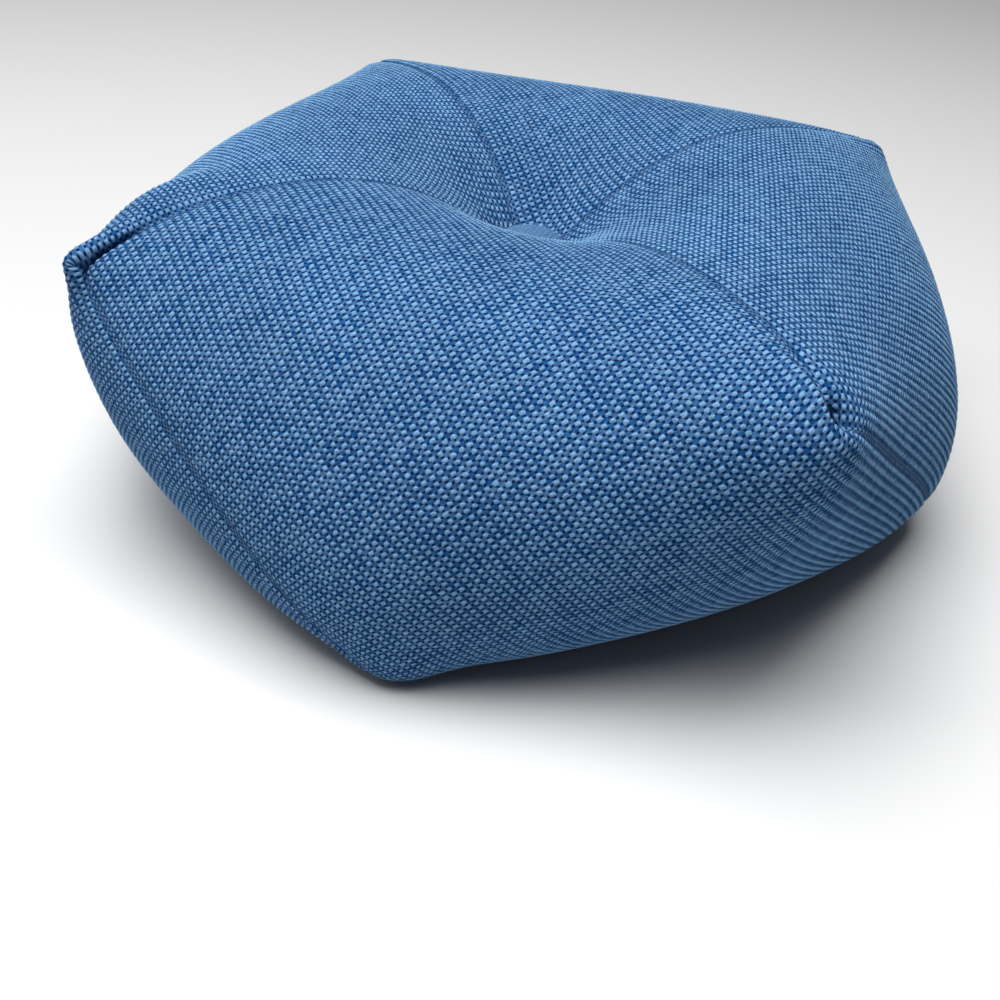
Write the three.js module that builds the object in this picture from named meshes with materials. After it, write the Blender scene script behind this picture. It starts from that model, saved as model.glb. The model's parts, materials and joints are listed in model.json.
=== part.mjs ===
// Square floor pouf: a stuffed cloth cushion sewn from four one-by-two panels, tufted by one covered button.
// Millimetres, +Z up. The top square stands square to X and Y; the underside square is turned by 45 degrees.
import * as THREE from 'three';

const panelWidth = 230;          // short side of a panel, the long side is twice this
const netSquares = 24;           // squares of the solving net along the short side
const meshSquares = 23;          // squares of the finished solid along the short side
const crowding = 0.42;           // how far the finished squares crowd towards the seams
const frameTurn = -135;          // degrees, sets the top square square to the axes

const fullness = 0.135;          // pressure of the filling against the stiffness of the cloth
const seamTake = 0.945;          // length a sewn seam keeps of the cloth beside it
const seamStiffness = 3;
const pushStiffness = 0.15;      // cloth buckles, so it pushes back far less than it pulls
const shearStiffness = 0.12;
const bendStiffness = 19.9;      // of the filled cloth, in mm2
const underRound = 6;            // how much stiffer the lower corners are
const settleSteps = 2600;

const topCornerOut = [211.1, 227.8, 214.7, 219.5];    // from the middle to where each corner is held
const topCornerAngle = [0.2, 88, 183.74, 268.72]; // degrees, before the frame turn
const topCornerUp = [143, 147.5, 142.5, 144];
const underCornerOut = [197.5, 202, 198.9, 198.9];
const underCornerAngle = [44.24, 137, 225, 315];
const underCornerUp = [22.7, 32.5, 29.3, 29.3];
const topHoldReach = 42;         // size of the patch of cloth that holds a corner
const underHoldReach = 50;
const topGrip = 0.5;
const underGrip = 0.2;

const buttonRadius = 15;
const buttonDome = 6.5;          // from the rim's foot to the crown of the button
const buttonRim = 2.6;           // height of the rim above the foot
const buttonFoot = 10.5;         // radius of the flat underneath
const buttonSegments = 56;
const tuftHeight = 127.0;        // height of the cloth under the button
const tuftCentre = [0.5, -6.35]; // before the frame turn
const tuftMargin = 2.6;          // flat cloth outside the button's rim
const tuftSlope = 1.1;           // steepest rise of the cloth around the button
const sewingGap = 0.3;

const seamSink = 1.6;            // how deep a seam lies below the cloth beside it
const seamWidth = 5;
const pinchLength = 60;          // length of the pinched fold that runs into each top corner
const pinchSink = 6.5;
const pinchWidth = 8;
const lipRise = 2.2;             // roll of cloth that stands over the pinched fold

const count = netSquares;
const radians = degrees => degrees * Math.PI / 180;

// A name for each point of the sewn net, the same name on both sides of a seam.
function pointName(panel, i, j, squares) {
  const k = ((panel % 4) + 4) % 4;
  if (i === 0 && j === 0) return 'top';
  if (i === squares && j === 2 * squares) return 'under';
  if (i === 0 && j <= squares) return pointName(k + 1, j, 0, squares);
  if (i === 0) return pointName(k + 1, squares, j - squares, squares);
  if (j === 2 * squares) return pointName(k + 1, squares, squares + i, squares);
  return `${k},${i},${j}`;
}

// The four panels as one closed net of squares.
function sewnNet(squares, place) {
  const names = new Map();
  const points = [];
  const at = (k, i, j) => {
    const name = pointName(k, i, j, squares);
    if (!names.has(name)) {
      names.set(name, points.length);
      points.push({ place: place(k, i, j), k, i, j });
    }
    return names.get(name);
  };
  const quads = [];
  for (let k = 0; k < 4; k += 1) {
    for (let i = 0; i < squares; i += 1) {
      for (let j = 0; j < 2 * squares; j += 1) {
        quads.push([at(k, i, j), at(k, i + 1, j), at(k, i + 1, j + 1), at(k, i, j + 1)]);
      }
    }
  }
  return { at, points, quads };
}

// Where the panels lie before they are filled: folded into a flat-sided antiprism.
function foldedPlace(k, i, j) {
  const u = i / count;
  const v = j / count;
  const lid = 0.64 * panelWidth;
  const ring = (turn, z) => new THREE.Vector3(
    panelWidth * Math.cos(turn * Math.PI / 2), panelWidth * Math.sin(turn * Math.PI / 2), z);
  const top = n => ring(n, lid);
  const under = n => ring(n + 0.5, 0);
  const mix = (a, b, c, wa, wb, wc) => a.clone().multiplyScalar(wa).addScaledVector(b, wb).addScaledVector(c, wc);
  if (v <= 1 && u + v <= 1) return mix(new THREE.Vector3(0, 0, lid), top(k), top(k + 1), 1 - u - v, u, v);
  if (v <= 1) return mix(top(k), under(k), top(k + 1), 1 - v, u + v - 1, 1 - u);
  const w = v - 1;
  if (u + w <= 1) return mix(top(k + 1), under(k), under(k + 1), 1 - u - w, u, w);
  return mix(under(k), new THREE.Vector3(0, 0, 0), under(k + 1), 1 - w, u + w - 1, 1 - u);
}

// Threads, diagonals and bending lines of the net; seams are kept apart as they are shorter and stiffer.
function netLines(net) {
  const { at, points } = net;
  const step = panelWidth / count;
  const seamPairs = new Set();
  const pairKey = (a, b) => (a < b ? `${a}-${b}` : `${b}-${a}`);
  const bends = [];
  for (let k = 0; k < 4; k += 1) {
    for (let s = 0; s < count; s += 1) {
      seamPairs.add(pairKey(at(k, s, 0), at(k, s + 1, 0)));
      seamPairs.add(pairKey(at(k, count, s), at(k, count, s + 1)));
      seamPairs.add(pairKey(at(k, count, count + s), at(k, count, count + s + 1)));
      if (s === 0) continue;
      bends.push([at(k, s, 1), at(k, s, 0), at(k - 1, 1, s)]);
      bends.push([at(k, count - 1, s), at(k, count, s), at(k - 1, 1, count + s)]);
      bends.push([at(k, count - 1, count + s), at(k, count, count + s), at(k - 1, s, 2 * count - 1)]);
    }
    for (let i = 0; i <= count; i += 1) {
      for (let j = 0; j <= 2 * count; j += 1) {
        if (i > 0 && i < count) bends.push([at(k, i - 1, j), at(k, i, j), at(k, i + 1, j)]);
        if (j > 0 && j < 2 * count) bends.push([at(k, i, j - 1), at(k, i, j), at(k, i, j + 1)]);
      }
    }
  }
  const seen = new Set();
  const threads = [];
  const seams = [];
  const diagonals = [];
  const addThread = (a, b) => {
    const key = pairKey(a, b);
    if (a === b || seen.has(key)) return;
    seen.add(key);
    if (seamPairs.has(key)) seams.push([a, b, step * seamTake]);
    else threads.push([a, b, step]);
  };
  for (const [a, b, c, d] of net.quads) {
    addThread(a, b);
    addThread(b, c);
    addThread(c, d);
    addThread(d, a);
    diagonals.push([a, c, step * Math.SQRT2], [b, d, step * Math.SQRT2]);
  }
  return { threads, seams, diagonals, bends, total: points.length };
}

// How far a point of a panel lies from the panel's nearest top corner and nearest lower corner.
function cornerAway(i, j) {
  const step = panelWidth / count;
  return {
    top: Math.min(Math.hypot(count - i, j), Math.hypot(i, j - count)) * step,
    under: Math.min(Math.hypot(count - i, j - count), Math.hypot(i, 2 * count - j)) * step,
  };
}

// Coordinates that the tuft holds.
function tuftHolds(net) {
  const held = [];
  const middle = net.at(0, 0, 0);
  held.push([3 * middle, tuftCentre[0]], [3 * middle + 1, tuftCentre[1]]);
  const step = panelWidth / count;
  net.points.forEach((point, n) => {
    if (point.j <= count && Math.hypot(point.i, point.j) * step <= buttonRadius) held.push([3 * n + 2, tuftHeight]);
  });
  return held;
}

// Patches of cloth round the corners, each with its pull and the place that its middle is drawn to.
function cornerPatches(net) {
  const patches = [];
  const step = panelWidth / count;
  const addPatch = (corners, reach, grip, out, turn, up) => {
    const near = new Map();
    for (const [k, ci, cj] of corners) {
      for (let i = 0; i <= count; i += 1) {
        for (let j = 0; j <= 2 * count; j += 1) {
          const weight = Math.exp(-((Math.hypot(i - ci, j - cj) * step / reach) ** 2));
          const n = net.at(k, i, j);
          if (weight >= 0.01) near.set(n, Math.max(weight, near.get(n) ?? 0));
        }
      }
    }
    const total = [...near.values()].reduce((sum, weight) => sum + weight, 0);
    const place = [out * Math.cos(radians(turn)), out * Math.sin(radians(turn)), up];
    patches.push({ near: [...near], total, grip, place });
  };
  for (let k = 0; k < 4; k += 1) {
    addPatch([[k, count, 0], [k - 1, 0, count]], topHoldReach, topGrip,
      topCornerOut[k], topCornerAngle[k], topCornerUp[k]);
    addPatch([[k, count, count], [k - 1, 0, 2 * count]], underHoldReach, underGrip,
      underCornerOut[k], underCornerAngle[k], underCornerUp[k]);
  }
  return patches;
}

// Fills the cover and lets it settle on the floor; returns the coordinates one after another.
function settle(net) {
  const lines = netLines(net);
  const held = tuftHolds(net);
  const patches = cornerPatches(net);
  const x = new Float64Array(3 * lines.total);
  const speed = new Float64Array(3 * lines.total);
  const force = new Float64Array(3 * lines.total);
  net.points.forEach((point, n) => point.place.toArray(x, 3 * n));
  const step = panelWidth / count;
  const pressure = fullness / panelWidth;
  const pull = (list, stretched, squeezed) => {
    for (const [a, b, rest] of list) {
      const dx = x[3 * b] - x[3 * a];
      const dy = x[3 * b + 1] - x[3 * a + 1];
      const dz = x[3 * b + 2] - x[3 * a + 2];
      const length = Math.sqrt(dx * dx + dy * dy + dz * dz) + 1e-12;
      const strain = (length - rest) / rest;
      const g = (strain > 0 ? stretched : squeezed) * strain * step / length;
      force[3 * a] += dx * g;
      force[3 * a + 1] += dy * g;
      force[3 * a + 2] += dz * g;
      force[3 * b] -= dx * g;
      force[3 * b + 1] -= dy * g;
      force[3 * b + 2] -= dz * g;
    }
  };
  const inflate = () => {
    for (const [a, b, c, d] of net.quads) {
      const ex = x[3 * c] - x[3 * a];
      const ey = x[3 * c + 1] - x[3 * a + 1];
      const ez = x[3 * c + 2] - x[3 * a + 2];
      const gx = x[3 * d] - x[3 * b];
      const gy = x[3 * d + 1] - x[3 * b + 1];
      const gz = x[3 * d + 2] - x[3 * b + 2];
      const scale = pressure / 8;
      for (const n of [a, b, c, d]) {
        force[3 * n] += (ey * gz - ez * gy) * scale;
        force[3 * n + 1] += (ez * gx - ex * gz) * scale;
        force[3 * n + 2] += (ex * gy - ey * gx) * scale;
      }
    }
  };
  const bends = net.points.map(point => {
    const away = cornerAway(point.i, point.j).under;
    return bendStiffness / step ** 2 * (1 + underRound * Math.exp(-((away / 45) ** 2)));
  });
  const stiffen = () => {
    for (const [a, b, c] of lines.bends) {
      for (let axis = 0; axis < 3; axis += 1) {
        const g = bends[b] * (x[3 * a + axis] - 2 * x[3 * b + axis] + x[3 * c + axis]);
        force[3 * a + axis] -= g / 2;
        force[3 * b + axis] += g;
        force[3 * c + axis] -= g / 2;
      }
    }
  };
  const drawCorners = () => {
    for (const { near, total, grip, place } of patches) {
      for (let axis = 0; axis < 3; axis += 1) {
        let middle = 0;
        for (const [n, weight] of near) middle += weight * x[3 * n + axis] / total;
        const g = grip * (place[axis] - middle);
        for (const [n, weight] of near) force[3 * n + axis] += weight * g;
      }
    }
  };
  const pace = bends.map(bend => 1 / (4 + 1.4 * seamStiffness + 6 * bend + 2 * shearStiffness));
  for (let turn = 0; turn < settleSteps; turn += 1) {
    const eased = Math.min(1, turn / (0.4 * settleSteps));
    force.fill(0);
    inflate();
    pull(lines.threads, 1, pushStiffness);
    pull(lines.seams, seamStiffness, seamStiffness);
    pull(lines.diagonals, shearStiffness, shearStiffness * 0.5);
    stiffen();
    drawCorners();
    for (let q = 0; q < x.length; q += 1) {
      speed[q] = speed[q] * 0.985 + force[q] * pace[Math.floor(q / 3)];
      x[q] += speed[q];
    }
    for (const [q, value] of held) {
      x[q] += (value - x[q]) * (eased < 1 ? 0.05 * eased : 1);
      speed[q] = 0;
    }
    for (let n = 0; n < lines.total; n += 1) {
      if (x[3 * n + 2] >= 0) continue;
      x[3 * n + 2] = 0;
      speed[3 * n + 2] = 0;
      speed[3 * n] *= 0.9;
      speed[3 * n + 1] *= 0.9;
    }
  }
  return x;
}

// A smooth reading of the settled net at any place of a panel, both counted in net squares.
function readPanel(net, x, k, a, b) {
  const weights = t => [
    ((-0.5 * t + 1) * t - 0.5) * t,
    (1.5 * t - 2.5) * t * t + 1,
    ((-1.5 * t + 2) * t + 0.5) * t,
    (0.5 * t - 0.5) * t * t];
  const taps = (value, last) => {
    const base = Math.min(last - 1, Math.floor(value));
    const list = [];
    weights(value - base).forEach((w, n) => {
      const m = base - 1 + n;
      if (m < 0) list.push([0, 2 * w], [1, -w]);
      else if (m > last) list.push([last, 2 * w], [last - 1, -w]);
      else list.push([m, w]);
    });
    return list;
  };
  const sum = new THREE.Vector3();
  for (const [i, wi] of taps(a, count)) {
    for (const [j, wj] of taps(b, 2 * count)) {
      const n = net.at(k, i, j);
      sum.x += x[3 * n] * wi * wj;
      sum.y += x[3 * n + 1] * wi * wj;
      sum.z += x[3 * n + 2] * wi * wj;
    }
  }
  return sum;
}

const ease = t => {
  const s = Math.min(1, Math.max(0, t));
  return s * s * (3 - 2 * s);
};
const crowd = t => t - crowding * Math.sin(2 * Math.PI * t) / (2 * Math.PI);

// How far the cloth at (u, v) of a panel moves in (-) or out (+) beside the seams, u and v in millimetres.
function seamRelief(u, v) {
  const w = panelWidth;
  const edges = [
    { away: v, along: u, from: 'top', panelCorner: true },
    { away: u, along: v, from: 'top', panelCorner: false },
    { away: w - u, along: w + v, from: 'side' },
    { away: u, along: v, from: 'side', past: true },
    { away: 2 * w - v, along: 3 * w, from: 'under' }];
  let move = 0;
  for (const edge of edges) {
    if (edge.from === 'top' && edge.along > w) continue;
    if (edge.past && edge.along <= w) continue;
    const sink = seamSink * Math.exp(-((edge.away / seamWidth) ** 2));
    let pinch = 0;
    if (edge.from === 'top') pinch = ease((edge.along - (w - pinchLength)) / (0.7 * pinchLength));
    if (edge.from === 'side') pinch = 1 - ease((edge.along - w) / 26);
    const fold = pinch * pinchSink * Math.exp(-((edge.away / pinchWidth) ** 2));
    let lip = 0;
    if (edge.panelCorner === false || edge.past) {
      lip = pinch * lipRise * Math.exp(-(((edge.away - 1.9 * pinchWidth) / pinchWidth) ** 2));
    }
    move = Math.min(move, -sink - fold) + lip;
  }
  return move;
}

function cushionSolid() {
  const coarse = sewnNet(count, foldedPlace);
  const x = settle(coarse);
  const grid = n => (n <= meshSquares ? crowd(n / meshSquares) : 1 + crowd(n / meshSquares - 1));
  const fine = sewnNet(meshSquares, (k, i, j) => readPanel(coarse, x, k, grid(i) * count, grid(j) * count));
  const normals = fine.points.map(() => new THREE.Vector3());
  for (const quad of fine.quads) {
    const [a, b, c, d] = quad.map(n => fine.points[n].place);
    const face = new THREE.Vector3().crossVectors(c.clone().sub(a), d.clone().sub(b));
    quad.forEach(n => normals[n].add(face));
  }
  fine.points.forEach((point, n) => {
    const relief = seamRelief(grid(point.i) * panelWidth, grid(point.j) * panelWidth);
    point.place.addScaledVector(normals[n].normalize(), relief);
    const away = Math.hypot(point.place.x - tuftCentre[0], point.place.y - tuftCentre[1]);
    const rise = tuftSlope * Math.max(0, away - buttonRadius - tuftMargin);
    if (away < 60 && point.place.z > tuftHeight / 2) point.place.z = Math.min(point.place.z, tuftHeight + rise);
    if (point.place.z < 0.9) point.place.z = 0;
  });
  const positions = fine.points.flatMap(point => point.place.toArray());
  const index = fine.quads.flatMap(([a, b, c, d]) => [a, b, c, a, c, d]);
  const geometry = new THREE.BufferGeometry();
  geometry.setAttribute('position', new THREE.Float32BufferAttribute(positions, 3));
  geometry.setIndex(index);
  geometry.computeVertexNormals();
  return geometry;
}

function buttonSolid() {
  const foot = tuftHeight + sewingGap;
  const rimZ = foot + buttonRim;
  const profile = [new THREE.Vector2(0, foot), new THREE.Vector2(buttonFoot, foot)];
  for (let n = 1; n <= 4; n += 1) {
    const turn = n * Math.PI / 8;
    profile.push(new THREE.Vector2(
      buttonFoot + (buttonRadius - buttonFoot) * Math.sin(turn), rimZ - buttonRim * Math.cos(turn)));
  }
  for (let n = 1; n <= 9; n += 1) {
    const turn = n * Math.PI / 18;
    const reach = n === 9 ? 0 : buttonRadius * Math.cos(turn) ** 0.8;
    profile.push(new THREE.Vector2(reach, rimZ + (buttonDome - buttonRim) * Math.sin(turn)));
  }
  const geometry = new THREE.LatheGeometry(profile, buttonSegments);
  geometry.rotateX(Math.PI / 2);
  geometry.translate(tuftCentre[0], tuftCentre[1], 0);
  return geometry;
}

function named(name, geometry, color) {
  const mesh = new THREE.Mesh(geometry, new THREE.MeshStandardMaterial({ color, roughness: 0.9 }));
  mesh.name = name;
  return mesh;
}

const cushionGeometry = cushionSolid();
const buttonGeometry = buttonSolid();
for (const geometry of [cushionGeometry, buttonGeometry]) geometry.rotateZ(radians(frameTurn));
cushionGeometry.computeBoundingBox();
const middle = cushionGeometry.boundingBox.getCenter(new THREE.Vector3());
for (const geometry of [cushionGeometry, buttonGeometry]) geometry.translate(-middle.x, -middle.y, 0);

const group = new THREE.Group();
group.name = 'square_floor_pouf';
group.add(named('cushion', cushionGeometry, 0x2f5f9a));
group.add(named('button', buttonGeometry, 0x34649f));

export default group;
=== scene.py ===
"""Square floor pouf: a stuffed cover of four sewn panels with one covered button in its tuft."""
import json
import math

import bmesh
import bpy
import numpy as np
from mathutils import Matrix, Vector

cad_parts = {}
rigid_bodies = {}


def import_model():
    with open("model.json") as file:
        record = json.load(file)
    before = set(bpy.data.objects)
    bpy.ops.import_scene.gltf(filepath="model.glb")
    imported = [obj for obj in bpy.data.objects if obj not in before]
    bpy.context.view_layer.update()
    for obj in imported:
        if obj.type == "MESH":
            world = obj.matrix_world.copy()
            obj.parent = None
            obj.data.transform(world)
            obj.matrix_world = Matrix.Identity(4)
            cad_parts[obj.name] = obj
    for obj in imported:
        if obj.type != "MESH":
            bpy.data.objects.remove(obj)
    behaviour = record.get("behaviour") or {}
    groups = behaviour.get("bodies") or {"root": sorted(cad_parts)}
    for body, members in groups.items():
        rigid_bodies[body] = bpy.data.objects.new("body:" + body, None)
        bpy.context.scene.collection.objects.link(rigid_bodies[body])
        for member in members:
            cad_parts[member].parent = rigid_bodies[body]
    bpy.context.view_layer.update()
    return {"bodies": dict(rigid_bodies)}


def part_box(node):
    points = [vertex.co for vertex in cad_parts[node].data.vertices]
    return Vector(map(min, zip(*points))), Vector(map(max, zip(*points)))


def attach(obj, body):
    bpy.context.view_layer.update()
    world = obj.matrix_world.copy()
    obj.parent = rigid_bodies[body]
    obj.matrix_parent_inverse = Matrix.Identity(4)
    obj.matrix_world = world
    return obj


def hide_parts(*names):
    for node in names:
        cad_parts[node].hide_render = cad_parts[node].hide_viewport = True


bl_info = {
    "name": "Square floor pouf",
    "version": (1, 0, 0),
    "blender": (4, 5, 0),
    "location": "3D View > Sidebar > Pouf",
    "description": "Builds a stuffed square floor pouf with woven panels and a covered button",
    "category": "Object",
}

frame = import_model()
BUTTON_BOX = [list(corner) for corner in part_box("button")]
BUTTON_MIDDLE = [(low + high) / 2 for low, high in zip(*BUTTON_BOX)]
BODY = next(iter(frame["bodies"]))
MM = 0.001
FRAME_TURN = math.radians(-135)   # turns the settled pouf square to X and Y
NET_TOP_GRIP = 0.5                # pull by which a top corner is held, against the cloth's own stiffness
NET_UNDER_GRIP = 0.2              # the same for a lower corner
GRIP_SQUARES = 24                 # net squares along a short side for which the grips are given
GRID_PER_BEAD = 3                 # grid squares of a panel to a bead each way
UV_APART = 201                    # beads between the panels in the weave's own coordinates
SEAM_SHADE_REACH = 0.9             # mm of painted shade beside a seam
SEWING_GAP = 0.0003               # m between the button and the cloth under it
PANEL_NAMES = ("panel_front", "panel_right", "panel_back", "panel_left")


class PoufCoverSizes(bpy.types.PropertyGroup):
    """Sizes of the stuffed cover."""

    panel_width: bpy.props.FloatProperty(
        name="Panel width", description="Short side of a panel; the long side is twice this",
        default=0.230, min=0.1, max=0.5, subtype="DISTANCE", unit="LENGTH")
    beads_across: bpy.props.IntProperty(
        name="Beads across", description="Light beads of the weave along the short side of a panel",
        default=62, min=10, max=63)
    beads_along: bpy.props.IntProperty(
        name="Beads along", description="Light beads of the weave along the long side of a panel",
        default=163, min=20, max=164)
    net_squares: bpy.props.IntProperty(
        name="Net squares", description="Squares of the solving net along the short side of a panel",
        default=24, min=12, max=32)
    settle_steps: bpy.props.IntProperty(
        name="Settling steps", description="Steps in which the filled cover comes to rest",
        default=2600, min=200)
    fine_squares: bpy.props.IntProperty(
        name="Fine net squares", description="Squares of the finer net in which the corners are tucked in",
        default=60, min=24, max=80)
    fine_steps: bpy.props.IntProperty(
        name="Fine settling steps", description="Steps in which the finer net comes to rest",
        default=400, min=20)
    fullness: bpy.props.FloatProperty(
        name="Fullness", description="Pressure of the filling against the stiffness of the cloth",
        default=0.135, min=0.0, max=1.0, subtype="FACTOR")
    seam_take: bpy.props.FloatProperty(
        name="Seam take", description="Length that a sewn seam keeps of the cloth beside it",
        default=0.945, min=0.7, max=1.0, subtype="FACTOR")
    bend: bpy.props.FloatProperty(
        name="Bending", description="Stiffness of the filled cloth against bending, in mm2",
        default=19.9, min=0.0)
    fine_bend: bpy.props.FloatProperty(
        name="Fine bending", description="Stiffness of the cloth alone against bending, in mm2",
        default=3.0, min=0.0)
    top_out: bpy.props.FloatVectorProperty(
        name="Top corners out", description="From the middle to where each top corner is held",
        size=4, default=(0.2111, 0.2278, 0.2147, 0.2195), unit="LENGTH")
    top_angle: bpy.props.FloatVectorProperty(
        name="Top corner angles", description="Direction of each top corner from the middle, in degrees",
        size=4, default=(0.2, 88.0, 183.74, 268.72))
    top_up: bpy.props.FloatVectorProperty(
        name="Top corners up", description="Height at which each top corner is held",
        size=4, default=(0.1393, 0.1475, 0.1425, 0.1440), unit="LENGTH")
    under_out: bpy.props.FloatVectorProperty(
        name="Lower corners out", description="From the middle to where each lower corner is held",
        size=4, default=(0.1975, 0.2020, 0.1989, 0.1989), unit="LENGTH")
    under_angle: bpy.props.FloatVectorProperty(
        name="Lower corner angles", description="Direction of each lower corner from the middle, in degrees",
        size=4, default=(44.24, 137.0, 225.0, 315.0))
    under_up: bpy.props.FloatVectorProperty(
        name="Lower corners up", description="Height at which each lower corner is held",
        size=4, default=(0.0227, 0.0325, 0.0293, 0.0293), unit="LENGTH")
    hold_reach: bpy.props.FloatProperty(
        name="Hold reach", description="Size of the patch of cloth by which a top corner is held",
        default=0.042, unit="LENGTH")
    under_reach: bpy.props.FloatProperty(
        name="Lower hold reach", description="Size of the patch of cloth by which a lower corner is held",
        default=0.050, unit="LENGTH")
    tuft_centre: bpy.props.FloatVectorProperty(
        name="Tuft centre", description="Place of the tuft before the pouf is turned square to X and Y",
        size=2, default=(0.0005, -0.00635), unit="LENGTH")
    tuft_height: bpy.props.FloatProperty(
        name="Tuft height", description="Height of the cloth under the button",
        default=0.1270, unit="LENGTH")
    seam_sink: bpy.props.FloatProperty(
        name="Seam sink", description="How deep a seam lies below the cloth beside it",
        default=0.0010, min=0.0, max=0.01, unit="LENGTH")
    seam_width: bpy.props.FloatProperty(
        name="Seam width", description="Reach of the soft groove beside a seam",
        default=0.0035, min=0.001, max=0.02, unit="LENGTH")
    pinch_length: bpy.props.FloatProperty(
        name="Pinch length", description="Length of the pinched fold that runs into a top corner",
        default=0.058, min=0.0, max=0.1, unit="LENGTH")
    pinch_sink: bpy.props.FloatVectorProperty(
        name="Pinch depth", description="How far each top corner is tucked in, or drawn out if negative",
        size=4, default=(-0.0100, 0.0105, 0.0030, 0.0030), unit="LENGTH")
    pinch_droop: bpy.props.FloatVectorProperty(
        name="Pinch droop", description="How far the point of each top corner droops",
        size=4, default=(0.0075, 0.0, 0.0, 0.0), unit="LENGTH")
    crease_sink: bpy.props.FloatVectorProperty(
        name="Crease depth", description="Depth of the sharp crease that runs into each top corner",
        size=4, default=(0.0090, 0.0070, 0.0030, 0.0030), unit="LENGTH")
    under_round: bpy.props.FloatProperty(
        name="Lower corner rounding", description="How much stiffer against bending the lower corners are",
        default=6.0, min=0.0)
    under_puff: bpy.props.FloatVectorProperty(
        name="Lower corner puff", description="How far the filling bulges just beside each lower corner",
        size=4, default=(0.006, 0.003, 0.0, 0.0), unit="LENGTH")
    hood_puff: bpy.props.FloatVectorProperty(
        name="Hood puff", description="How far the filling bulges in the hood of cloth over each top corner",
        size=4, default=(0.0052, 0.0, 0.0, 0.0), unit="LENGTH")
    lip_rise: bpy.props.FloatVectorProperty(
        name="Lip rise", description="How far the rolled cloth stands over the crease at each top corner",
        size=4, default=(0.0025, 0.0025, 0.0010, 0.0010), unit="LENGTH")
    lip_lean: bpy.props.FloatVectorProperty(
        name="Lip lean", description="How far the rolled cloth leans over the crease at each top corner",
        size=4, default=(0.0085, 0.0025, 0.0010, 0.0010), unit="LENGTH")
    yarn_rise: bpy.props.FloatProperty(
        name="Yarn relief", description="How far the light yarn stands above the pores of the weave",
        default=0.0008, min=0.0, max=0.002, unit="LENGTH")


class PoufCoverColours(bpy.types.PropertyGroup):
    """Colours of the cover cloth."""

    light_yarn: bpy.props.FloatVectorProperty(
        name="Light yarn", description="Colour of the thick yarn that shows as beads",
        size=3, subtype="COLOR", default=(0.144, 0.288, 0.480), min=0.0, max=1.0)
    middle_yarn: bpy.props.FloatVectorProperty(
        name="Middle yarn", description="Colour of the duller beads between the light ones",
        size=3, subtype="COLOR", default=(0.006, 0.059, 0.182), min=0.0, max=1.0)
    # Dark yarn colour, made darker still so that it also paints the shade in the pores between the beads and
    # along the seams
    dark_yarn_and_shade: bpy.props.FloatVectorProperty(
        name="Dark yarn", description="Colour of the thin yarn that the beads lie on",
        size=3, subtype="COLOR", default=(0.0004, 0.009, 0.060), min=0.0, max=1.0)
    roughness: bpy.props.FloatProperty(
        name="Roughness", description="Roughness of the yarns",
        default=0.9, min=0.0, max=1.0, subtype="FACTOR")


class PoufButtonSizes(bpy.types.PropertyGroup):
    """Sizes of the covered button."""

    radius: bpy.props.FloatProperty(
        name="Radius", description="Radius of the button's rim",
        default=(BUTTON_BOX[1][0] - BUTTON_BOX[0][0]) / 2, min=0.005, max=0.04, unit="LENGTH")
    dome: bpy.props.FloatProperty(
        name="Dome", description="From the button's foot to its crown",
        default=BUTTON_BOX[1][2] - BUTTON_BOX[0][2], min=0.001, max=0.03, unit="LENGTH")
    rim: bpy.props.FloatProperty(
        name="Rim height", description="From the button's foot to its rim",
        default=0.0026, min=0.0005, max=0.01, unit="LENGTH")
    foot: bpy.props.FloatProperty(
        name="Foot radius", description="Radius of the flat underneath",
        default=0.0105, min=0.001, max=0.03, unit="LENGTH")


class PoufStageSettings(bpy.types.PropertyGroup):
    """Floor, light and camera."""

    camera_azimuth: bpy.props.FloatProperty(
        name="Azimuth", description="Direction of the camera round the pouf, in degrees from -Y",
        default=16.115)
    camera_elevation: bpy.props.FloatProperty(
        name="Elevation", description="Angle of the camera above the floor, in degrees", default=32.347)
    camera_roll: bpy.props.FloatProperty(
        name="Roll", description="Turn of the camera about its own view, in degrees", default=4.099)
    camera_distance: bpy.props.FloatProperty(
        name="Distance", description="From the camera to the point it looks at",
        default=0.7034, unit="LENGTH")
    camera_aim: bpy.props.FloatVectorProperty(
        name="Aim", description="Point that the camera looks at",
        size=3, default=(0.00511, -0.05374, 0.00716), subtype="TRANSLATION", unit="LENGTH")
    camera_lens: bpy.props.FloatProperty(
        name="Lens", description="Focal length of the camera in millimetres", default=48.90)
    floor_colour: bpy.props.FloatVectorProperty(
        name="Floor", description="Colour of the plain floor",
        size=3, subtype="COLOR", default=(0.62, 0.62, 0.62), min=0.0, max=1.0)


def point_name(panel, i, j, squares):
    """Name of a point of the sewn net, the same name on both sides of a seam."""
    k = panel % 4
    if i == 0 and j == 0:
        return "top"
    if i == squares and j == 2 * squares:
        return "under"
    if i == 0 and j <= squares:
        return point_name(k + 1, j, 0, squares)
    if i == 0:
        return point_name(k + 1, squares, j - squares, squares)
    if j == 2 * squares:
        return point_name(k + 1, squares, squares + i, squares)
    return (k, i, j)


def sewn_index(squares):
    """Number of every point of the four panels, sewn together."""
    numbers = {}
    index = np.zeros((4, squares + 1, 2 * squares + 1), dtype=int)
    for k in range(4):
        for i in range(squares + 1):
            for j in range(2 * squares + 1):
                index[k, i, j] = numbers.setdefault(point_name(k, i, j, squares), len(numbers))
    return index


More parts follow.
